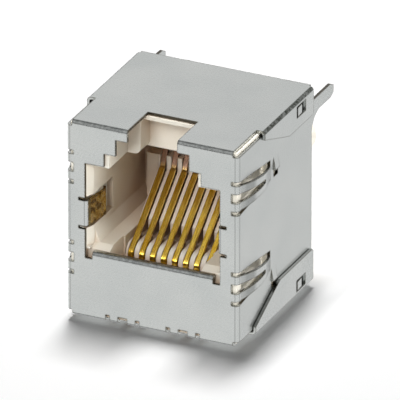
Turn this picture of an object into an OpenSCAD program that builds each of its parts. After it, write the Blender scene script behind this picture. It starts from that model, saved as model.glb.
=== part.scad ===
// Shielded eight-way modular jack for vertical mounting on a circuit board.
// A folded sheet shield holds a moulded housing, a contact carrier and eight contacts.
// X is the width, -Y the plug side, +Y the board side, +Z up. Millimetres.

/* [Shield] */
// Width over the two side panels
shield_w = 15.9; // [15.7:0.1:18]
// Height over the top and bottom panels
shield_h = 18.2; // [18:0.1:20]
// Depth from the front face to the rear edge of the panels
shield_d = 14.7; // [14.5:0.1:18]
// Thickness of the sheet
sheet = 0.25; // [0.2:0.01:0.3]
// Outer radius of the folds round the front face
bend_r = 0.4; // [0.36:0.01:0.5]
// Width of the relief at each corner of the front face
corner_gap = 0.5; // [0.42:0.01:0.7]
// Length of the open seam between the top and side panels
top_seam = 4.7; // [3:0.1:6]
// Length of the open seam between the bottom and side panels
bottom_seam = 2.9; // [2:0.1:5]
// Gap between a side panel and the flange folded over it
flange_gap = 0.05; // [0.03:0.01:0.1]
// Depth of the top flange at its rear
top_flange = 2.55; // [2:0.05:3.2]
// Depth of the bottom flange at its rear
bottom_flange = 3.1; // [2:0.05:3.2]
// Depth of a flange at its front end
flange_front = 0.8; // [0.6:0.05:1.2]

/* [Front opening] */
// Width of the opening for the plug
opening_w = 12.48; // [12.3:0.02:12.8]
// Distance of its upper edge below the top panel
opening_top = 3.8; // [3.6:0.05:4]
// Distance of its lower edge below the top panel
opening_bottom = 11.95; // [11.8:0.05:12.1]
// Half widths of the three steps for the latch, from the top down
step_half = [2.3, 3.4, 4.48];
// Lower edges of the two upper steps, below the top panel
step_edge = [1.1, 2.6];
// How far the latch notch runs back into the top panel
notch_d = 4.1; // [3.5:0.1:5]
// Length of the lip folded in along the lower edge
lip_len = 0.55; // [0.5:0.05:0.7]
// Width of the relief at each end of that lip
lip_relief = 0.65; // [0.5:0.05:0.8]

/* [Side contact tabs] */
// Height of the shield tab on each side of the opening
tab_h = 2.35; // [1.8:0.05:2.6]
// Centre of the tab below the top panel
tab_centre = 8.5; // [8:0.1:9]
// Length of the tab into the opening
tab_len = 3.4; // [2.5:0.1:4]
// How far the tab leans into the opening
tab_lean = 0.35; // [0.2:0.05:0.5]
// Length of the tab's end that bends back from the plug
tab_curl = 0.5; // [0.4:0.05:0.7]
// Width of the relief slit above and below the tab
tab_slit = 0.28; // [0.2:0.02:0.4]

/* [Spring fingers] */
// Heights of the side finger pairs, below the top panel
side_fingers = [4.35, 12.75];
// Distance of each bottom finger pair from the middle
bottom_finger_x = 2.8; // [2.2:0.1:3.6]
// Width of a finger at its root
finger_root = 2.4; // [2:0.05:2.6]
// Width of a finger at its free tip
finger_tip = 1.1; // [0.8:0.05:1.4]
// Distance of the free tip behind the front face
finger_len = 6; // [5:0.1:6.1]
// Height of the bow that presses on the enclosure
finger_bow = 0.55; // [0.4:0.05:0.8]
// Height at which the free tip stands off the panel
finger_lift = 0.2; // [0.1:0.02:0.3]
// Width of the slot round a finger
finger_slot = 0.36; // [0.25:0.02:0.5]
// Width of the slit between its two legs at the front
finger_slit = 0.85; // [0.6:0.05:1]
// Length of that slit behind the front face
finger_slit_len = 4.2; // [3:0.1:5]
// How far the slots reach round the fold into the front face
finger_wrap = 0.65; // [0.5:0.05:0.8]

/* [Latches and legs] */
// Length of the window in a flange
window_len = 1.8; // [1.4:0.1:2.4]
// Height of the window in a flange
window_h = 1.05; // [0.8:0.05:1.2]
// Distance of the window's middle from the rear edge
window_back = 2.75; // [2.2:0.05:3.4]
// Distance of the window's edge from the fold of its flange
window_drop = 0.45; // [0.4:0.05:0.5]
// Clearance above and below the catch in its window
catch_gap = 0.12; // [0.1:0.01:0.15]
// Length of a louver, which stands out of the side panel to grip the enclosure
louver_len = 1.2; // [1:0.05:1.3]
// Width of a louver
louver_w = 0.85; // [0.6:0.05:1]
// How far its lower end stands out of the panel
louver_out = 0.2; // [0.15:0.01:0.3]
// Thickness of its side walls
louver_wall = 0.12; // [0.1:0.01:0.15]
// Height of the opening under it
louver_gap = 0.65; // [0.4:0.05:0.7]
// Distances of the louvers behind the front face
louver_y = [7.45, 7.05];
// Heights of their lower ends, below the top panel
louver_drop = [4.6, 14.8];
// Width of a solder leg
leg_w = 1.25; // [1:0.05:1.6]
// Length of a solder leg behind the panels
leg_len = 4.4; // [3.5:0.1:5]
// Upper edge of a solder leg, below the top panel
leg_drop = 1.55; // [1.4:0.05:1.7]
// Length of the taper at its tip
leg_taper = 0.6; // [0.4:0.05:0.8]
// Radius of the hollow curve under a leg
leg_fillet = 1.7; // [1:0.1:2.2]

/* [Housing] */
// Clearance between the housing and the shield
housing_fit = 0.05; // [0.03:0.01:0.1]
// Width of the plug cavity
cavity_w = 11.88; // [11.8:0.02:12]
// Ceiling of the plug cavity, below the top panel
cavity_top = 4; // [3.9:0.05:4.2]
// Side ledges of the cavity floor, below the top panel
ledge_top = 11.6; // [11.4:0.05:11.8]
// Rear wall of the cavity behind the front face
cavity_d = 11.3; // [11:0.1:12]
// Half width of the recess in front of the latch channel
latch_front_half = 4.12; // [3.8:0.02:4.3]
// Depth of that recess behind the front face
latch_front_d = 3.9; // [3.5:0.1:4.2]
// Half width of the latch channel
latch_half = 2.9; // [2.6:0.05:3.1]
// Rear wall of the latch channel behind the front face
latch_d = 5.8; // [5:0.1:7]
// Half width of the trough in front of the contact noses
trough_half = 4.25; // [4.2:0.01:4.3]
// Width of the slope at the foot of each side wall
wall_foot_w = 0.44; // [0.3:0.02:0.44]
// Height of that slope
wall_foot_h = 1.15; // [0.8:0.05:1.3]
// Radius of the edges where the channel opens into the cavity
latch_edge_r = 0.6; // [0.3:0.05:0.8]
// Thickness of the roof over the latch channel
roof = 0.35; // [0.25:0.05:0.6]
// Distance of the housing's rear face inside the rear edge of the panels
rear_set = 0.4; // [0.2:0.05:0.6]
// Height of the feet that stand on the board, beyond the panels
foot_h = 0.25; // [0.1:0.05:0.5]
// Diameter of those feet
foot_d = 1.8; // [1.4:0.1:1.8]
// Distance of the feet's centres inside the panels
foot_in = 1.65; // [1.6:0.05:1.7]
// Depth of the pockets for the spring fingers
pocket_depth = 0.45; // [0.3:0.05:0.5]

/* [Locating pegs] */
// Diameter of a locating peg
peg_d = 3.2; // [2.9:0.05:3.3]
// Distance between the two pegs
peg_pitch = 11.43; // [11:0.01:11.5]
// Centre of the pegs below the top panel
peg_drop = 5.9; // [5.5:0.1:6.3]
// Length of a peg beyond the feet
peg_len = 2.5; // [2.3:0.1:3.3]
// Length of the bevel on a peg's tip
peg_bevel = 0.5; // [0.3:0.05:0.8]
// Diameter of the boss at a peg's root, which stands on the board
boss_d = 3.7; // [3.6:0.02:3.8]

/* [Contacts] */
// Distance between neighbouring contacts
pitch = 1.02; // [1:0.01:1.04]
// Distance between neighbouring solder pins
pin_pitch = 1.27; // [1.2:0.01:1.3]
// Width of a contact
contact_w = 0.45; // [0.4:0.01:0.5]
// Thickness of a contact
contact_t = 0.25; // [0.2:0.01:0.3]
// Centre radius of the nose bend
nose_r = 0.5; // [0.4:0.02:0.55]
// Centre of the nose bend behind the front face
nose_y = 3.85; // [3.7:0.05:4.2]
// Level of the straight run under the cavity, below the top panel
run_drop = 13.75; // [13.6:0.05:13.9]
// Angle of the sprung part above the run
spring_angle = 39.4; // [37:0.2:41]
// Where the sprung part bends up behind the front face
knee_y = 9.75; // [9.5:0.05:9.8]
// Angle of the free end
tip_angle = 66; // [60:1:70]
// Length of the free end
tip_len = 1.75; // [1.4:0.05:1.9]
// Pin row next to the cavity, below the top panel
pin_row_a = 12.25; // [12.2:0.05:12.4]
// Distance between the two pin rows
pin_rows = 2.54; // [2.4:0.02:2.6]
// Width of a solder pin
pin_w = 0.5; // [0.4:0.02:0.6]
// Length of the taper at a pin's tip
pin_taper = 0.4; // [0.3:0.05:0.6]
// Length of a solder pin behind the rear edge of the panels
pin_len = 3.3; // [2.8:0.1:3.6]

/* [Contact carrier] */
// Width of the carrier
carrier_w = 10.2; // [10:0.1:10.6]
// Clearance between the carrier and the housing
carrier_fit = 0.04; // [0.03:0.01:0.08]
// Clearance round a contact in the carrier
contact_fit = 0.03; // [0.02:0.01:0.05]
// Width of a comb slot
slot_w = 0.6; // [0.56:0.01:0.66]
// Front end of the carrier behind the front face
carrier_y = 3.35; // [3.3:0.05:3.6]
// Radius of the ribs' front
rib_r = 1.1; // [0.8:0.05:1.3]
// Level of the ribs between the noses, below the top panel
rib_top = 12.3; // [12.2:0.05:12.4]
// Underside of the carrier, below the top panel
carrier_bottom = 15.9; // [15.6:0.1:16.4]
// Front of the sloping fins behind the front face
fin_y = 6.2; // [6:0.1:6.6]
// Front of the upright comb behind the front face
comb_y = 9.85; // [9.85:0.05:10.1]
// Top of the comb below the top panel
comb_top = 6.8; // [6.6:0.1:7]
// Rear wall of the comb slots behind the front face
comb_slot_y = 11; // [10.95:0.05:11.1]
// Depth of the fins behind the centre line of the sprung parts
fin_set = 0.4; // [0.3:0.05:0.6]
// Thickness of the comb's two outer fins
end_fin = 0.18; // [0.15:0.01:0.2]
// Outer edges of the housing's blocks beside the comb, from the middle
end_block_half = 5.1; // [4.8:0.05:5.4]
// Underside of those blocks, below the top panel
end_block_drop = 10.8; // [10.2:0.1:11.2]

/* [Hidden] */

$fn = 48;
eps = 0.01;
far = 40;
contacts = 8;

half_w = shield_w / 2;
inner_half = half_w - sheet;
open_half = opening_w / 2;
flange_in = half_w + flange_gap;
flange_out = flange_in + sheet;
flange_r = sheet + 0.15;
flange_set = 0.25;
flange_bevel = 0.2;
catch_proud = 0.05;
flange_ramp = 4.9;
root_y = bend_r + 0.15;
tab_x = open_half - 0.25;
tab_root = 0.6;

housing_half = inner_half - housing_fit;
housing_front = sheet + housing_fit;
housing_rear = shield_d - rear_set;
cavity_half = cavity_w / 2;
lead_y = 1.1;
ledge_y = 0.65;
ledge_slope = 0.75;
trough_drop = run_drop + 0.6;
tab_recess = 1.3;
tab_recess_d = 4.9;
pocket_y = 1.2;

carrier_half = carrier_w / 2;
nose_half = (contacts - 1) / 2 * pitch + slot_w / 2 + end_fin;
carrier_rear = housing_rear;
back_top = comb_top - 1.2;
riser_y = comb_slot_y + 1.2;
shoulder_y = riser_y - 0.5;
shoulder_top = ledge_top + 0.05;
fin_foot = rib_top + 0.3;
rib_gap = 0.35;
rib_gap_h = 0.8;

board_y = shield_d + foot_h;
total_d = shield_d + leg_len;

metal = [0.74, 0.75, 0.75];
cream = [0.94, 0.93, 0.90];
ivory = [0.90, 0.89, 0.84];
gold = [0.85, 0.63, 0.22];

// Height above the outside of the bottom panel for a distance below the top panel
function up(drop) = shield_h - drop;

// Drop of the sprung part's centre line at a distance behind the front face
function spring_drop(y) =
    run_drop - nose_r - nose_r * cos(spring_angle)
    - (y - nose_y + nose_r * sin(spring_angle)) * tan(spring_angle);

// Middle of a contact, counted from 1, at its nose and at its solder pin
function nose_x(i) = (i - (contacts + 1) / 2) * pitch;
function pin_x(i) = (i - (contacts + 1) / 2) * pin_pitch;
function pin_drop(i) = pin_row_a + (i % 2 == 1 ? 0 : pin_rows);

// The origin lies at the middle of the underside, level with the bowed fingers
module placed() {
    translate([0, -total_d / 2, finger_bow]) children();
}

module both_sides() {
    children();
    mirror([1, 0, 0]) children();
}

// A box from its low corner to its high corner
module block(low, high) {
    translate(low) cube(high - low);
}

// A shape drawn in Y and Z, extruded along X from x0 to x1
module along_x(x0, x1) {
    translate([x0, 0, 0]) rotate([90, 0, 90]) linear_extrude(x1 - x0) children();
}

// A shape drawn in X and Z, extruded along Y from y0 to y1
module along_y(y0, y1) {
    translate([0, y1, 0]) rotate([90, 0, 0]) linear_extrude(y1 - y0) children();
}

// A rectangle from its low corner to its high corner
module area(low, high) {
    translate(low) square(high - low);
}

// ---- Shield: one sheet, stamped and folded ----

// Section of a sheet folded back at both ends of the front face
module folded_outline(width, depth, r, set) {
    area([r - width / 2, set], [width / 2 - r, depth]);
    area([-width / 2, set + r], [width / 2, depth]);
    for (side = [-1, 1])
        translate([side * (width / 2 - r), set + r]) circle(r);
}

// A solid with the outline of the folded panels, taken in by a distance all round
module folded_solid(set, depth) {
    intersection() {
        translate([0, 0, set])
            linear_extrude(shield_h - 2 * set)
                folded_outline(shield_w - 2 * set, depth, bend_r - set, set);
        translate([-inner_half - sheet, 0, shield_h / 2])
            rotate([90, 0, 90])
                linear_extrude(shield_w)
                    rotate([0, 0, -90])
                        folded_outline(shield_h - 2 * set, depth, bend_r - set, set);
    }
}

// Stepped opening for the plug and its latch, with room for the folds of its lip and tabs
module opening_2d() {
    lip_half = open_half - lip_relief;
    area([-open_half, up(opening_bottom)], [open_half, up(opening_top)]);
    area([-step_half[2], up(opening_top) - eps], [step_half[2], up(step_edge[1])]);
    area([-step_half[1], up(step_edge[1]) - eps], [step_half[1], up(step_edge[0])]);
    area([-step_half[0], up(step_edge[0]) - eps], [step_half[0], far]);
    area([-lip_half - eps, up(opening_bottom) - bend_r], [lip_half + eps, up(opening_bottom) + eps]);
    for (side = [-1, 1])
        translate([side * (open_half - lip_relief / 2), up(opening_bottom)])
            square([lip_relief, 2 * lip_relief], center = true);
    for (side = [-1, 1])
        translate([side * open_half, up(tab_centre)])
            square([2 * tab_root, tab_h + 2 * tab_slit], center = true);
}

// Outline of a spring finger in its panel: x across, y behind the front face
module finger_2d() {
    difference() {
        polygon([
            [-finger_root / 2, 0], [finger_root / 2, 0],
            [finger_tip / 2, finger_len], [-finger_tip / 2, finger_len]
        ]);
        polygon([
            [-finger_slit / 2, -eps], [finger_slit / 2, -eps],
            [finger_slot / 2, finger_slit_len], [-finger_slot / 2, finger_slit_len]
        ]);
        translate([0, finger_slit_len]) circle(finger_slot / 2);
    }
}

// What is stamped out of the panel for a finger: its slots and the part that is bowed
module finger_cut_2d() {
    difference() {
        polygon([
            [-finger_root / 2 - finger_slot, -far], [finger_root / 2 + finger_slot, -far],
            [finger_root / 2 + finger_slot, 0],
            [finger_tip / 2 + finger_slot, finger_len + finger_slot],
            [-finger_tip / 2 - finger_slot, finger_len + finger_slot],
            [-finger_root / 2 - finger_slot, 0]
        ]);
        intersection() {
            union() {
                finger_2d();
                for (side = [-1, 1])
                    translate([side * (finger_root + finger_slit) / 4, 0])
                        square([(finger_root - finger_slit) / 2, 2 * eps], center = true);
            }
            translate([-far, -far]) square([2 * far, far + root_y]);
        }
    }
}

// Cuts for one finger, in a panel whose outside is the plane z = 0
module finger_cut() {
    translate([0, 0, -finger_wrap]) linear_extrude(2) finger_cut_2d();
}

// One bowed finger on a panel whose outside is the plane z = 0
module finger() {
    radius = pow((finger_len - root_y) / (sqrt(finger_bow) + sqrt(finger_bow - finger_lift)), 2) / 2;
    rise = sqrt(finger_bow * (2 * radius - finger_bow));
    intersection() {
        along_x(-finger_root, finger_root)
            translate([root_y + rise, finger_bow - radius])
                difference() {
                    circle(radius, $fn = 120);
                    circle(radius - sheet, $fn = 120);
                }
        translate([0, 0, -2 * sheet])
            linear_extrude(finger_bow + 3 * sheet)
                intersection() {
                    finger_2d();
                    area([-far, root_y - 2 * eps], [far, far]);
                }
    }
}

// Puts what is drawn on the plane z = 0 on a side panel and on the bottom panel
module on_finger_places() {
    both_sides()
        for (drop = side_fingers)
            translate([half_w, 0, up(drop)]) rotate([0, 90, 0]) children();
    both_sides()
        translate([bottom_finger_x, 0, 0]) rotate([0, 180, 0]) children();
}

// Lip folded in along the lower edge of the opening
module lip() {
    lip_half = open_half - lip_relief;
    top = up(opening_bottom);
    along_x(-lip_half, lip_half) {
        intersection() {
            translate([bend_r, top - bend_r])
                difference() {
                    circle(bend_r);
                    circle(bend_r - sheet);
                }
            area([0, top - bend_r - eps], [bend_r + eps, top]);
        }
        area([bend_r, top - sheet], [lip_len, top]);
    }
}

// Tab that touches the plug's own shield, folded back from the edge of the opening
module contact_tab() {
    near = tab_x - tab_lean;
    translate([0, 0, up(tab_centre) - tab_h / 2])
        linear_extrude(tab_h) {
            intersection() {
                translate([tab_x + bend_r, bend_r])
                    difference() {
                        circle(bend_r);
                        circle(bend_r - sheet);
                    }
                area([tab_x, 0], [tab_x + bend_r + eps, bend_r + eps]);
            }
            area([tab_x + bend_r, 0], [open_half + tab_root + eps, sheet]);
            polygon([
                [tab_x, bend_r], [near, tab_len - tab_curl], [near + tab_curl / 2, tab_len],
                [near + tab_curl / 2 + sheet, tab_len], [near + sheet, tab_len - tab_curl],
                [tab_x + sheet, bend_r]
            ]);
        }
}

// Flange folded from the top panel over the side panel; drop is its depth at the rear
module flange(seam, drop) {
    rear = shield_d - flange_set;
    fold = flange_out - flange_r;
    block([half_w - corner_gap - eps, seam, shield_h - sheet], [fold + eps, shield_d, shield_h]);
    translate([fold, rear, shield_h - flange_r])
        rotate([90, 0, 0])
            linear_extrude(rear - seam)
                intersection() {
                    difference() {
                        circle(flange_r);
                        circle(flange_r - sheet);
                    }
                    translate([-eps, -eps]) square(far);
                }
    along_x(flange_in, flange_out)
        difference() {
            polygon([
                [seam, up(flange_r)], [seam, up(flange_front)], [seam + flange_ramp, up(drop)],
                [rear - flange_bevel, up(drop)], [rear, up(drop - flange_bevel)], [rear, up(flange_r)]
            ]);
            window_2d();
        }
}

// Window in a flange for the side panel's catch
module window_2d() {
    translate([shield_d - window_back, up(window_drop + window_h / 2)])
        square([window_len, window_h], center = true);
}

// Catch lanced out of the side panel into the flange's window
module catch() {
    front = shield_d - window_back - window_len / 2 + catch_gap;
    translate([0, 0, up(window_drop + window_h) + catch_gap])
        linear_extrude(window_h - 2 * catch_gap)
            polygon([
                [half_w - eps, front], [flange_out + catch_proud, front],
                [flange_out, front + window_len / 2], [half_w - eps, front + window_len - 3 * catch_gap]
            ]);
}

// Solder leg on the rear edge of a side panel
module leg() {
    top = up(leg_drop);
    low = top - leg_w;
    tip = shield_d + leg_len;
    along_x(inner_half, half_w) {
        polygon([
            [shield_d - eps, top], [tip - leg_taper, top], [tip, top - leg_taper / 2],
            [tip, low + leg_taper / 2], [tip - leg_taper, low], [shield_d - eps, low]
        ]);
        difference() {
            area([shield_d - eps, low - leg_fillet], [shield_d + leg_fillet, low + eps]);
            translate([shield_d + leg_fillet, low - leg_fillet]) circle(leg_fillet);
        }
    }
}

// Opening behind and under a louver, cut from one side plane to another
module louver_cut(i, x0, x1) {
    w = louver_w / 2;
    block(
        [x0, louver_y[i] - w, up(louver_drop[i] + louver_gap)],
        [x1, louver_y[i] + w, up(louver_drop[i] - louver_len)]
    );
}

// Louver pressed out of the side panel, closed at its sides and open at its lower end
module louver(i) {
    root = up(louver_drop[i] - louver_len);
    tip = up(louver_drop[i]);
    w = louver_w / 2;
    difference() {
        along_y(louver_y[i] - w - eps, louver_y[i] + w + eps)
            polygon([
                [inner_half, root + eps], [half_w, root + eps],
                [half_w + louver_out, tip], [inner_half, tip]
            ]);
        along_y(louver_y[i] - w + louver_wall, louver_y[i] + w - louver_wall)
            polygon([
                [inner_half - 1, root - sheet], [inner_half, root - sheet],
                [inner_half + louver_out, tip - eps], [inner_half - 1, tip - eps]
            ]);
    }
}

// Panels with every stamped opening, before the fingers, flanges and tabs
module panels() {
    difference() {
        folded_solid(0, shield_d);
        folded_solid(sheet, shield_d + 1);
        both_sides() {
            block([half_w - corner_gap, -1, up(corner_gap)], [far, far, far]);
            block([half_w - corner_gap, -1, -1], [far, far, corner_gap]);
            for (i = [0, 1]) louver_cut(i, inner_half - sheet, half_w + 1);
        }
        along_y(-1, bend_r + eps) opening_2d();
        block([-step_half[0], -1, up(1)], [step_half[0], notch_d, far]);
        on_finger_places() finger_cut();
    }
}

module shield() {
    color(metal) placed() {
        panels();
        lip();
        on_finger_places() finger();
        both_sides() {
            contact_tab();
            flange(top_seam, top_flange);
            translate([0, 0, shield_h]) mirror([0, 0, 1]) flange(bottom_seam, bottom_flange);
            catch();
            translate([0, 0, shield_h]) mirror([0, 0, 1]) catch();
            leg();
            for (i = [0, 1]) louver(i);
        }
    }
}

// ---- Housing: one moulding with the plug cavity, the latch channel and two pegs ----

// Latch channel with rounded edges where it opens into the cavity, drawn in X and Z
module latch_channel_2d() {
    low = up(cavity_top);
    area([-latch_half, low - eps], [latch_half, up(sheet + housing_fit + roof)]);
    for (side = [-1, 1])
        difference() {
            translate([side * (latch_half + latch_edge_r / 2), low + latch_edge_r / 2 - eps])
                square([latch_edge_r + 2 * eps, latch_edge_r], center = true);
            translate([side * (latch_half + latch_edge_r), low + latch_edge_r]) circle(latch_edge_r);
        }
}

// Plug cavity with its lead-in and the sloping foot of its side walls
module cavity() {
    lead = open_half - cavity_half;
    block([-cavity_half, -1, up(ledge_top)], [cavity_half, cavity_d, up(cavity_top)]);
    translate([0, 0, up(ledge_top)])
        linear_extrude(ledge_top - cavity_top)
            polygon([
                [-open_half - lead, housing_front - 1], [open_half + lead, housing_front - 1],
                [open_half, housing_front], [cavity_half, lead_y], [-cavity_half, lead_y],
                [-open_half, housing_front]
            ]);
    along_x(-cavity_half, cavity_half)
        polygon([
            [0, up(ledge_top) + eps], [0, up(opening_bottom) + eps],
            [ledge_y, up(opening_bottom) + eps], [ledge_y + ledge_slope, up(ledge_top) + eps]
        ]);
    block([-trough_half, -1, up(trough_drop)], [trough_half, carrier_y, up(ledge_top) + eps]);
    block([-latch_front_half, -1, up(cavity_top) - eps], [latch_front_half, latch_front_d, far]);
    along_y(latch_front_d - eps, latch_d) latch_channel_2d();
}

// Slope at the foot of a side wall of the cavity
module wall_foot() {
    along_y(ledge_y + ledge_slope, cavity_d + eps)
        polygon([
            [cavity_half + eps, up(ledge_top) - eps], [cavity_half - wall_foot_w, up(ledge_top) - eps],
            [cavity_half - wall_foot_w, up(ledge_top)], [cavity_half, up(ledge_top - wall_foot_h)],
            [cavity_half + eps, up(ledge_top - wall_foot_h)]
        ]);
}

// Recess beside the cavity for a contact tab of the shield
module tab_pocket() {
    h = tab_h / 2 + tab_slit;
    block(
        [cavity_half - eps, -1, up(tab_centre) - h],
        [cavity_half + tab_recess, tab_recess_d, up(tab_centre) + h]
    );
}

// Space for the carrier, which is pushed in from the rear
module carrier_space() {
    gap = carrier_fit;
    low = up(carrier_bottom) - gap;
    out = board_y + 1;
    narrow = nose_half + gap;
    wide = carrier_half + gap;
    block([-narrow, carrier_y - gap, low], [narrow, out, up(ledge_top) + eps]);
    block([-wide, fin_y - gap, low], [wide, out, up(rib_top) + gap]);
    block([-narrow, comb_y - gap, low], [narrow, out, up(comb_top) + gap]);
    block([-narrow, comb_slot_y - gap, low], [narrow, out, up(back_top) + gap]);
    block([-wide, shoulder_y - gap, low], [wide, out, up(shoulder_top) + gap]);
}

// Locating peg with a bevelled tip, standing on the rear face
module peg() {
    tip = board_y + peg_len;
    translate([peg_pitch / 2, 0, up(peg_drop)])
        rotate([-90, 0, 0])
            rotate_extrude()
                polygon([
                    [0, housing_rear - eps], [boss_d / 2, housing_rear - eps],
                    [boss_d / 2, board_y], [peg_d / 2, board_y],
                    [peg_d / 2, tip - peg_bevel], [peg_d / 2 - peg_bevel / 2, tip], [0, tip]
                ]);
}

// Feet that hold the rear face off the board
module feet() {
    for (level = [foot_in, shield_h - foot_in])
        translate([half_w - foot_in - sheet, housing_rear - eps, level])
            rotate([-90, 0, 0])
                cylinder(d = foot_d, h = board_y - housing_rear + eps);
}

// Block beside the comb that closes the corner of the cavity's rear wall
module end_block() {
    block(
        [nose_half + carrier_fit, comb_y, up(end_block_drop)],
        [end_block_half, cavity_d + eps, up(comb_top)]
    );
}

module housing() {
    low = sheet + housing_fit;
    color(cream) placed() {
        difference() {
            union() {
                block([-housing_half, housing_front, low], [housing_half, housing_rear, shield_h - low]);
                both_sides() {
                    peg();
                    feet();
                }
            }
            cavity();
            carrier_space();
            both_sides() {
                tab_pocket();
                for (drop = side_fingers)
                    block(
                        [housing_half - pocket_depth, pocket_y, up(drop) - finger_root / 2 - finger_slot],
                        [far, finger_len + finger_slot, up(drop) + finger_root / 2 + finger_slot]
                    );
                for (i = [0, 1]) louver_cut(i, housing_half - pocket_depth, far);
                block(
                    [bottom_finger_x - finger_root / 2 - finger_slot, pocket_y, -1],
                    [bottom_finger_x + finger_root / 2 + finger_slot, finger_len + finger_slot,
                        low + pocket_depth]
                );
            }
            block(
                [-open_half - 0.1, 0, up(opening_bottom) - bend_r - lip_relief],
                [open_half + 0.1, lip_len + 0.1, up(opening_bottom) + 0.1]
            );
        }
        both_sides() {
            end_block();
            wall_foot();
        }
    }
}

// ---- Contacts: stamped strips ----

// Sprung part and nose of a contact in Y and Z, widened all round by grow
module spring_2d(grow) {
    centre = [nose_y, up(run_drop - nose_r)];
    start = centre + nose_r * [-sin(spring_angle), cos(spring_angle)];
    knee = [knee_y, up(spring_drop(knee_y))];
    t = contact_t + 2 * grow;
    intersection() {
        translate(centre)
            difference() {
                circle(nose_r + t / 2);
                circle(nose_r - t / 2);
            }
        translate(centre)
            polygon([
                [0, 0], [-2 * sin(spring_angle), 2 * cos(spring_angle)], [-2, 1],
                [-2, -2], [eps, -2], [eps, 0]
            ]);
    }
    translate(start)
        rotate(spring_angle)
            translate([0, -t / 2]) square([norm(knee - start), t]);
    translate(knee) circle(d = t);
    translate(knee)
        rotate(tip_angle)
            translate([0, -t / 2]) square([tip_len + grow, t]);
}

// A whole contact, counted from 1, widened all round by grow
module contact_shape(i, grow = 0) {
    w = contact_w / 2 + grow;
    t = contact_t / 2 + grow;
    level = up(run_drop);
    pin_level = up(pin_drop(i));
    jog = [fin_y + 1, riser_y - 1];
    tip = shield_d + pin_len + grow;
    along_x(nose_x(i) - w, nose_x(i) + w) spring_2d(grow);
    translate([0, 0, level - t])
        linear_extrude(2 * t)
            polygon([
                [nose_x(i) - w, nose_y], [nose_x(i) + w, nose_y],
                [nose_x(i) + w, jog[0]], [pin_x(i) + w, jog[1]],
                [pin_x(i) + w, riser_y + t], [pin_x(i) - w, riser_y + t],
                [pin_x(i) - w, jog[1]], [nose_x(i) - w, jog[0]]
            ]);
    block(
        [pin_x(i) - w, riser_y - t, min(level, pin_level) - t],
        [pin_x(i) + w, riser_y + t, max(level, pin_level) + t]
    );
    translate([pin_x(i), 0, pin_level - t])
        linear_extrude(2 * t)
            polygon([
                [-pin_w / 2 - grow, riser_y], [pin_w / 2 + grow, riser_y],
                [pin_w / 2 + grow, tip - pin_taper], [pin_w / 4, tip], [-pin_w / 4, tip],
                [-pin_w / 2 - grow, tip - pin_taper]
            ]);
}

module contact(i) {
    color(gold) placed() contact_shape(i);
}

module contact_1() { contact(1); }
module contact_2() { contact(2); }
module contact_3() { contact(3); }
module contact_4() { contact(4); }
module contact_5() { contact(5); }
module contact_6() { contact(6); }
module contact_7() { contact(7); }
module contact_8() { contact(8); }

// ---- Contact carrier: base, sloping fins and upright comb ----

// Slot for one contact in Y and Z, open at the top and at the front
module slot_2d() {
    floor_drop = run_drop + contact_t / 2 + contact_fit;
    polygon([
        [carrier_y - 1, up(floor_drop)], [fin_y, up(floor_drop)], [fin_y, up(fin_foot)],
        [comb_slot_y, up(fin_foot)], [comb_slot_y, far], [carrier_y - 1, far]
    ]);
}

module contact_carrier() {
    low = up(carrier_bottom);
    step_y = fin_y - rib_gap;
    color(ivory) placed()
        difference() {
            union() {
                along_x(-nose_half, nose_half) {
                    area([carrier_y, low], [step_y, up(rib_top + rib_r)]);
                    area([carrier_y + rib_r, low], [step_y, up(rib_top)]);
                    translate([carrier_y + rib_r, up(rib_top + rib_r)]) circle(rib_r);
                }
                block([-nose_half, step_y - eps, low], [nose_half, fin_y + eps, up(rib_top + rib_gap_h)]);
                block([-carrier_half, fin_y, low], [carrier_half, carrier_rear, up(rib_top)]);
                along_x(-nose_half, nose_half)
                    polygon([
                        [fin_y, up(rib_top) - eps], [fin_y, up(spring_drop(fin_y) + fin_set)],
                        [comb_y, up(spring_drop(comb_y) + fin_set)], [comb_y + eps, up(rib_top) - eps]
                    ]);
                block([-nose_half, comb_y, up(rib_top) - eps], [nose_half, carrier_rear, up(comb_top)]);
                block([-nose_half, comb_slot_y, up(comb_top) - eps], [nose_half, carrier_rear, up(back_top)]);
                block(
                    [-carrier_half, shoulder_y, up(rib_top) - eps],
                    [carrier_half, carrier_rear, up(shoulder_top)]
                );
            }
            for (i = [1:contacts]) {
                along_x(nose_x(i) - slot_w / 2, nose_x(i) + slot_w / 2) slot_2d();
                contact_shape(i, contact_fit);
            }
        }
}

shield();
housing();
contact_carrier();
contact_1();
contact_2();
contact_3();
contact_4();
contact_5();
contact_6();
contact_7();
contact_8();
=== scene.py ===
"""Studio view of a shielded modular jack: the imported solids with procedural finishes.

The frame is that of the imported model: -Y is the plug side and +Z is up. Sizes are in metres,
apart from the regions of the finishes and the scales of noise, which are in millimetres.
Colours are linear.
"""
import math
import bpy
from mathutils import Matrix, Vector


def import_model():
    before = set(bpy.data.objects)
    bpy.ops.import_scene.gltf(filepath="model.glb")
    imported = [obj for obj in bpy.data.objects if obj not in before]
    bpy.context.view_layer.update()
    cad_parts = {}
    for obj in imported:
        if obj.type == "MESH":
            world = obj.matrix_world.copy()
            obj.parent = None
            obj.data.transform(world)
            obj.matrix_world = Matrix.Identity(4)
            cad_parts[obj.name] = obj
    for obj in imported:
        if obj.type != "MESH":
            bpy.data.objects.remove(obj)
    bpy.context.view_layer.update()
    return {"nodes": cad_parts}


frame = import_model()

MM = 0.001
MIDDLE = (0, 0, 9 * MM)

CONTACTS = [f"contact_{i}" for i in range(1, 9)]
PLASTIC = ["housing", "contact_carrier"]

# ---- Regions that the finishes follow, in millimetres ----

# Contact tabs of the shield: half width, depth from the front inwards, foot and top
TAB_X = 6.1
TAB_Y = (-9.0, 0.0)
TAB_Z = (7.5, 11.6)

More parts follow.
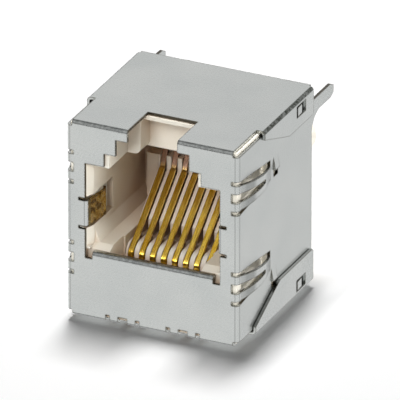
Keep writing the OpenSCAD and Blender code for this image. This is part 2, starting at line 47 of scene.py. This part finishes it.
# Sheet of the shield: the flat part of its panels, and the inner limits of its thickness
PANEL_X = 7.3
PANEL_Z = (1.2, 18.1)
FRONT_Y = -9.29
TOP_Z = 18.49
SIDE_X = (7.69, 7.96)
SIDE_START_Y = -8.99

# Half width inside which the plastic belongs to the plug's cavity and gets painted shade in its
# recesses
CAVITY_X = 6.5

# Depths at which a contact's gold ends and its tinned part begins, and how far each change takes
KNEE_Y = -0.15
TIN_Y = 4.4
PLATING_BLEND = 0.4

# ---- Limits of the masks that follow the direction of the surface ----

# On a cut face, the part of the unit normal that its panel faces along is less than this
CUT_TURN = 0.3
# Product of two parts of the unit normal at which the painted dark reflection on a fold begins and
# is darkest
FOLD = (0.22, 0.34)
# The same product where the painted shade lines at both ends of an upright fold rise, and where
# they fall
LINE_RISE = (0.10, 0.16)
LINE_FALL = (0.26, 0.34)
LINE_STRENGTH = 0.7

# ---- Colours ----

NICKEL = ((0.53, 0.55, 0.54), (0.58, 0.595, 0.58))
# Painted reflection of the gold contacts on the shield's steel contact tabs, and its darker patches
TAB_REFLECTED_GOLD = (1.0, 0.80, 0.38)
TAB_REFLECTION_DARK = (0.22, 0.12, 0.01)
# Painted dark reflections along the folds of the top with the sides and with the front
SIDE_FOLD_REFLECTION = (0.045, 0.05, 0.04)
FRONT_FOLD_REFLECTION = (0.22, 0.23, 0.225)
# Painted shade lines at both ends of the upright folds of the front
CORNER_SHADE_LINE = (0.26, 0.27, 0.26)
# Cut faces of the sheet: bare metal, darkened further with painted shade
CUT_FACE = (0.07, 0.06, 0.045)
# Painted shade along the sheet's sharp edges
SHEET_EDGE_SHADE = (0.11, 0.10, 0.075)

HOUSING = ((0.90, 0.86, 0.76), (0.86, 0.81, 0.70))
# Painted brown shade in the housing's recesses
HOUSING_PAINTED_SHADE = (0.54, 0.40, 0.28)
CARRIER = ((0.90, 0.87, 0.79), (0.86, 0.82, 0.74))
# Painted brown shade in the contact carrier's recesses
CARRIER_PAINTED_SHADE = (0.60, 0.47, 0.37)

# Gold, streaked partly by drawn marks and partly by painted reflection
GOLD = ((0.72, 0.42, 0.02), (1.0, 0.74, 0.16))
# Darker pinkish brown behind the knee, where the tips lie in the comb's slots
KNEE_BROWN = (0.36, 0.22, 0.16)
TIN = (0.62, 0.61, 0.58)
# Painted shade along the contacts' sharp edges
CONTACT_EDGE_SHADE = (0.22, 0.10, 0.01)

FLOOR = ((0.95, 0.95, 0.95), (0.94, 0.94, 0.94))
WHITE = (1, 1, 1, 1)
BLACK = (0, 0, 0, 1)

# ---- Studio and camera ----

FLOOR_SIZE = 1.2
# Light that only the camera sees on the floor, and the world's light on the object
FLOOR_GLOW = 0.03
WORLD_LIGHT = 0.10
# How much the mirrored world fades towards the rear, and the directions over which it does
REAR_FADE = 0.12
FADE_Y = (-0.6, 0.6)

# A long lens, above the object and to its right
AZIMUTH = 24.97
ELEVATION = 25.82
DISTANCE = 1.43
LENS = 1527.0
AIM = Vector((0.0, 0.0, 9.4 * MM))
AIM_RIGHT = -0.03 * MM
AIM_UP = -0.70 * MM


# ---- Shader nodes ----

def node(tree, kind, inputs=None, **settings):
    """A new shader node with its settings and the values or links of its inputs."""
    made = tree.nodes.new(kind)
    for name, value in settings.items():
        setattr(made, name, value)
    for name, value in (inputs or {}).items():
        socket = made.inputs[name]
        if isinstance(value, bpy.types.NodeSocket):
            tree.links.new(value, socket)
        else:
            socket.default_value = value
    return made


def new_material(name):
    """An empty node material: its tree, its principled shader and its place in millimetres."""
    material = bpy.data.materials.new(name)
    material.use_nodes = True
    tree = material.node_tree
    tree.nodes.clear()
    shader = node(tree, "ShaderNodeBsdfPrincipled")
    node(tree, "ShaderNodeOutputMaterial", {"Surface": shader.outputs["BSDF"]})
    place = node(tree, "ShaderNodeTexCoord").outputs["Object"]
    scaled = node(
        tree, "ShaderNodeVectorMath", {"Vector": place, "Scale": 1 / MM}, operation="SCALE"
    )
    return material, tree, shader, scaled.outputs["Vector"]


def noise(tree, place, scale, detail, roughness=0.5, stretch=None):
    """Noise with features of 1 / scale millimetres, finer along the axes that stretch enlarges."""
    if stretch:
        place = node(tree, "ShaderNodeMapping", {"Vector": place, "Scale": stretch})
        place = place.outputs["Vector"]
    made = node(
        tree, "ShaderNodeTexNoise",
        {"Vector": place, "Scale": scale, "Detail": detail, "Roughness": roughness},
    )
    return made.outputs["Fac"]


def spread(tree, value, low, high, start=0.3, end=0.7):
    """A value between start and end mapped to low and high."""
    made = node(
        tree, "ShaderNodeMapRange",
        {"Value": value, "From Min": start, "From Max": end, "To Min": low, "To Max": high},
    )
    return made.outputs["Result"]


def blend_colour(tree, amount, first, second):
    """A colour between two others; the first may be a colour already made by nodes."""
    if not isinstance(first, bpy.types.NodeSocket):
        first = (*first, 1)
    made = node(
        tree, "ShaderNodeMix", {"Factor": amount, "A": first, "B": (*second, 1)}, data_type="RGBA"
    )
    return made.outputs["Result"]


def calculate(tree, operation, *values):
    """One calculation carried along several values or sockets."""
    result = values[0]
    for value in values[1:]:
        made = node(tree, "ShaderNodeMath", {0: result, 1: value}, operation=operation)
        result = made.outputs["Value"]
    return result


def product(tree, *factors):
    """The product of several values or sockets."""
    return calculate(tree, "MULTIPLY", *factors)


def below(tree, value, limit):
    """One where a value is less than a limit."""
    return calculate(tree, "LESS_THAN", value, limit)


def above(tree, value, limit):
    """One where a value is greater than a limit."""
    return calculate(tree, "GREATER_THAN", value, limit)


def between(tree, value, low, high):
    """One where a value lies between two limits."""
    return product(tree, above(tree, value, low), below(tree, value, high))


def separate(tree, vector, folded=""):
    """The three parts of a vector, those along the folded axes without their sign."""
    parts = node(tree, "ShaderNodeSeparateXYZ", {"Vector": vector}).outputs
    return [
        calculate(tree, "ABSOLUTE", parts[axis], 0.0) if axis in folded else parts[axis]
        for axis in "XYZ"
    ]


def surface_normal(tree):
    """The true direction of the surface, without any relief."""
    return node(tree, "ShaderNodeNewGeometry").outputs["Normal"]


def soft_edges(tree, radius):
    """Normals rounded along the edges by that radius in metres."""
    return node(tree, "ShaderNodeBevel", {"Radius": radius}, samples=6).outputs["Normal"]


def relief(tree, height, depth, normal):
    """Normals with a bump of that depth in metres on top of others."""
    made = node(
        tree, "ShaderNodeBump",
        {"Height": height, "Distance": depth, "Strength": 1.0, "Normal": normal},
    )
    return made.outputs["Normal"]


def set_finish(tree, shader, colour, roughness, normal, metallic=0.0):
    """Links a finish to its shader."""
    tree.links.new(colour, shader.inputs["Base Color"])
    tree.links.new(roughness, shader.inputs["Roughness"])
    tree.links.new(normal, shader.inputs["Normal"])
    shader.inputs["Metallic"].default_value = metallic


# ---- Masks ----

def edge_mask(tree, radius, start, end):
    """One along sharp edges, falling to nothing at that radius in metres from them."""
    turned = node(
        tree, "ShaderNodeVectorMath",
        {0: soft_edges(tree, radius), 1: surface_normal(tree)}, operation="DOT_PRODUCT",
    )
    return spread(tree, turned.outputs["Value"], 1.0, 0.0, start, end)


def fold_mask(tree, axis):
    """One on the rounded folds between the top or bottom and the panels that face along an axis."""
    parts = dict(zip("XYZ", separate(tree, surface_normal(tree), axis + "Z")))
    return spread(tree, product(tree, parts[axis], parts["Z"]), 0.0, 1.0, *FOLD)


def corner_shade_lines(tree):
    """One along both ends of the upright folds between the front and the sides, where shade lines
    are painted.
    """
    x, y, _ = separate(tree, surface_normal(tree), "XY")
    turned = product(tree, x, y)
    rise = spread(tree, turned, 0.0, 1.0, *LINE_RISE)
    return product(tree, rise, spread(tree, turned, 1.0, 0.0, *LINE_FALL))


def contact_tab_mask(tree, place):
    """One on the two contact tabs of the shield, inside the plug opening."""
    x, y, z = separate(tree, place, "X")
    return product(tree, below(tree, x, TAB_X), between(tree, y, *TAB_Y), between(tree, z, *TAB_Z))


def cut_face_mask(tree, place):
    """One on the cut faces of the sheet, round the openings of the front, top and side panels."""
    x, y, z = separate(tree, place, "X")
    turned = [below(tree, part, CUT_TURN) for part in separate(tree, surface_normal(tree), "XYZ")]
    inner = below(tree, x, PANEL_X)
    upright = between(tree, z, *PANEL_Z)
    front = product(tree, below(tree, y, FRONT_Y), turned[1], inner, upright)
    top = product(tree, above(tree, z, TOP_Z), turned[2], inner)
    behind = above(tree, y, SIDE_START_Y)
    side = product(tree, between(tree, x, *SIDE_X), turned[0], upright, behind)
    return calculate(tree, "MAXIMUM", front, top, side)


# ---- Finishes ----

def shield_metal():
    """Satin nickel plating, with painted dark reflections on the folds, painted shade lines at the
    front corners, bare cut faces darkened with painted shade, and a painted reflection of the gold
    contacts on the contact tabs.
    """
    material, tree, shader, place = new_material("shield_metal")
    cloud = noise(tree, place, scale=0.22, detail=3.0)
    grain = noise(tree, place, scale=2.0, detail=4.0, roughness=0.6, stretch=(0.5, 6.0, 6.0))
    peel = noise(tree, place, scale=5.0, detail=2.0)
    waves = noise(tree, place, scale=1.6, detail=2.0)
    patches = noise(tree, place, scale=1.7, detail=3.0)
    uneven = noise(tree, place, scale=4.0, detail=3.0)
    tab = contact_tab_mask(tree, place)
    # Darker patches of the painted reflection on the contact tabs
    reflection_dark_patches = product(tree, tab, spread(tree, patches, 0.0, 1.0, start=0.50, end=0.56))
    # Mottling of the painted dark reflections on the folds
    reflection_mottle = spread(tree, uneven, 0.65, 1.0, start=0.35, end=0.60)
    tint = blend_colour(tree, spread(tree, cloud, 0.0, 1.0), *NICKEL)
    for amount, colour in (
        (tab, TAB_REFLECTED_GOLD),
        (reflection_dark_patches, TAB_REFLECTION_DARK),
        (product(tree, fold_mask(tree, "X"), reflection_mottle), SIDE_FOLD_REFLECTION),
        (product(tree, fold_mask(tree, "Y"), reflection_mottle), FRONT_FOLD_REFLECTION),
        (product(tree, corner_shade_lines(tree), LINE_STRENGTH), CORNER_SHADE_LINE),
        (cut_face_mask(tree, place), CUT_FACE),
        (edge_mask(tree, 0.20 * MM, start=0.80, end=0.99), SHEET_EDGE_SHADE),
    ):
        tint = blend_colour(tree, amount, tint, colour)
    fine = relief(tree, grain, 0.0012 * MM, soft_edges(tree, 0.05 * MM))
    fine = relief(tree, peel, 0.012 * MM, fine)
    dented = relief(tree, product(tree, waves, tab), 0.35 * MM, fine)
    set_finish(tree, shader, tint, spread(tree, grain, 0.22, 0.32), dented, metallic=1.0)
    return material


def plastic(name, colours, painted_shade, roughness):
    """Matt moulded plastic, faintly cloudy, with painted brown shade in its recesses inside the
    cavity and a fine spark texture.
    """
    material, tree, shader, place = new_material(name)
    cloud = noise(tree, place, scale=0.3, detail=2.0)
    spark = noise(tree, place, scale=18.0, detail=3.0)
    tint = blend_colour(tree, spread(tree, cloud, 0.0, 1.0), *colours)
    # Painted brown shade where little of the sky reaches, inside the cavity only
    sky = node(tree, "ShaderNodeAmbientOcclusion", {"Distance": 7 * MM}, samples=8).outputs["AO"]
    across = separate(tree, place, "X")[0]
    shade_amount = spread(tree, sky, 1.0, 0.0, start=0.10, end=0.78)
    tint = blend_colour(tree, product(tree, below(tree, across, CAVITY_X), shade_amount), tint, painted_shade)
    sheen = spread(tree, spark, roughness - 0.05, roughness + 0.05)
    fine = relief(tree, spark, 0.003 * MM, soft_edges(tree, 0.06 * MM))
    set_finish(tree, shader, tint, sheen, fine)
    return material


def contact_gold():
    """Bright gold plating on the stamped contacts, streaked partly with painted reflection, darker
    pinkish brown behind the comb, tinned at the pins and with painted shade along the edges.
    """
    material, tree, shader, place = new_material("contact_gold")
    drawn_and_reflection_streaks = noise(tree, place, scale=2.0, detail=3.0, stretch=(9.0, 0.35, 0.35))
    depth = separate(tree, place)[1]
    tint = blend_colour(tree, spread(tree, drawn_and_reflection_streaks, 0.0, 1.0, start=0.4, end=0.6), *GOLD)
    for amount, colour in (
        (spread(tree, depth, 0.0, 1.0, KNEE_Y, KNEE_Y + PLATING_BLEND), KNEE_BROWN),
        (spread(tree, depth, 0.0, 1.0, TIN_Y, TIN_Y + PLATING_BLEND), TIN),
        (edge_mask(tree, 0.08 * MM, start=0.78, end=0.99), CONTACT_EDGE_SHADE),
    ):
        tint = blend_colour(tree, amount, tint, colour)
    fine = relief(tree, drawn_and_reflection_streaks, 0.020 * MM, soft_edges(tree, 0.09 * MM))
    set_finish(tree, shader, tint, spread(tree, drawn_and_reflection_streaks, 0.08, 0.16), fine, metallic=1.0)
    return material


def paint(name, material):
    """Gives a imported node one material."""
    painted = frame["nodes"][name]
    if not painted.material_slots:
        painted.data.materials.append(material)
    for slot in painted.material_slots:
        slot.material = material


def finish_nodes():
    """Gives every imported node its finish."""
    paint("shield", shield_metal())
    paint("housing", plastic("housing_plastic", HOUSING, HOUSING_PAINTED_SHADE, roughness=0.42))
    paint("contact_carrier", plastic("carrier_plastic", CARRIER, CARRIER_PAINTED_SHADE, roughness=0.45))
    gold = contact_gold()
    for name in CONTACTS:
        paint(name, gold)


# ---- Stage, lights and camera ----

def floor():
    """White floor that stays white where it is lit and keeps the object's shadow."""
    bpy.ops.mesh.primitive_plane_add(size=FLOOR_SIZE, location=(0, 0, 0))
    made = bpy.context.object
    made.name = "floor"
    material, tree, shader, place = new_material("floor_white")
    tint = blend_colour(tree, noise(tree, place, scale=0.02, detail=2.0), *FLOOR)
    tree.links.new(tint, shader.inputs["Base Color"])
    shader.inputs["Roughness"].default_value = 0.9
    shader.inputs["Specular IOR Level"].default_value = 0.0
    seen = node(tree, "ShaderNodeLightPath").outputs["Is Camera Ray"]
    shader.inputs["Emission Color"].default_value = WHITE
    tree.links.new(product(tree, seen, FLOOR_GLOW), shader.inputs["Emission Strength"])
    made.visible_glossy = False
    made.data.materials.append(material)


def world():
    """Even studio light that is white to the camera and, towards the front, in reflections."""
    scene = bpy.context.scene
    scene.world = bpy.data.worlds.new("studio")
    scene.world.use_nodes = True
    tree = scene.world.node_tree
    tree.nodes.clear()
    seen = node(tree, "ShaderNodeLightPath").outputs
    rays = [seen[f"Is {kind} Ray"] for kind in ("Camera", "Glossy", "Transmission")]
    direct = calculate(tree, "MAXIMUM", *rays)
    depth = separate(tree, node(tree, "ShaderNodeTexCoord").outputs["Generated"])[1]
    faded = product(tree, seen["Is Glossy Ray"], spread(tree, depth, 0.0, REAR_FADE, *FADE_Y))
    bright = calculate(tree, "SUBTRACT", 1.0, faded)
    strength = spread(tree, direct, WORLD_LIGHT, bright, start=0.0, end=1.0)
    back = node(tree, "ShaderNodeBackground", {"Color": WHITE, "Strength": strength})
    node(tree, "ShaderNodeOutputWorld", {"Surface": back.outputs["Background"]})


def towards(origin, target):
    """Rotation that points an object's -Z from origin at target."""
    return (Vector(target) - Vector(origin)).to_track_quat("-Z", "Y").to_euler()


def softbox(name, place, size, power, aim=MIDDLE, only=None, mirrored=False):
    """Area light of a width and depth, facing down without an aim; it can be kept to some nodes."""
    data = bpy.data.lights.new(name, "AREA")
    data.shape = "RECTANGLE"
    data.size, data.size_y = size
    data.energy = power
    made = bpy.data.objects.new(name, data)
    made.location = place
    if aim:
        made.rotation_euler = towards(place, aim)
    made.visible_glossy = mirrored
    bpy.context.scene.collection.objects.link(made)
    if only:
        lit = bpy.data.collections.new(name + "_lit")
        for item in only:
            lit.objects.link(frame["nodes"][item])
        made.light_linking.receiver_collection = lit


def card(name, place, width, height, shade):
    """Grey card of the studio, seen only in the metal's reflections."""
    bpy.ops.mesh.primitive_plane_add(size=1, location=place)
    made = bpy.context.object
    made.name = name
    made.scale = (width, height, 1)
    made.rotation_euler = towards(place, MIDDLE)
    material, tree, shader, spot = new_material(name)
    cloud = noise(tree, spot, scale=0.01, detail=2.0)
    tint = blend_colour(tree, cloud, (shade,) * 3, (shade * 0.9,) * 3)
    shader.inputs["Base Color"].default_value = BLACK
    shader.inputs["Specular IOR Level"].default_value = 0.0
    tree.links.new(tint, shader.inputs["Emission Color"])
    shader.inputs["Emission Strength"].default_value = 1.0
    made.data.materials.append(material)
    made.visible_camera = False
    made.visible_diffuse = False
    made.visible_shadow = False


def lights():
    """One lamp for everything, three for the plastic, a glint for the contacts and two cards."""
    softbox("top", place=(-0.044, 0.102, 0.48), size=(0.08, 0.19), power=2.4, aim=None)
    softbox("side", place=(0.56, -0.06, 0.08), size=(0.30, 0.30), power=3.0, only=PLASTIC)
    softbox("front", place=(0.03, -0.42, 0.31), size=(0.20, 0.20), power=1.6, only=PLASTIC)
    softbox("rear", place=(-0.20, 0.50, 0.20), size=(0.30, 0.30), power=0.7, only=PLASTIC)
    softbox(
        "glint", place=(-0.21, -0.46, 0.20), size=(0.12, 0.34), power=0.75,
        only=CONTACTS, mirrored=True,
    )
    card("front_card", place=(-0.55, -1.85, 0.22), width=2.0, height=0.45, shade=0.05)
    card("ceiling", place=(-0.42, 0.0, 0.85), width=0.50, height=1.40, shade=0.42)


def camera():
    """Long-lens camera at the photographed angle."""
    turn = math.radians(AZIMUTH)
    rise = math.radians(ELEVATION)
    level = math.cos(rise)
    back = Vector((math.sin(turn) * level, -math.cos(turn) * level, math.sin(rise)))
    right = Vector((math.cos(turn), math.sin(turn), 0))
    target = AIM + AIM_RIGHT * right + AIM_UP * back.cross(right)
    data = bpy.data.cameras.new("camera")
    data.lens = LENS
    data.sensor_width = 36.0
    data.clip_start = 0.1
    data.clip_end = 10.0
    made = bpy.data.objects.new("camera", data)
    made.location = target + DISTANCE * back
    made.rotation_euler = towards(made.location, target)
    bpy.context.scene.collection.objects.link(made)
    bpy.context.scene.camera = made


camera()
floor()
world()
lights()
finish_nodes()
bpy.context.scene.view_settings.view_transform = "Standard"
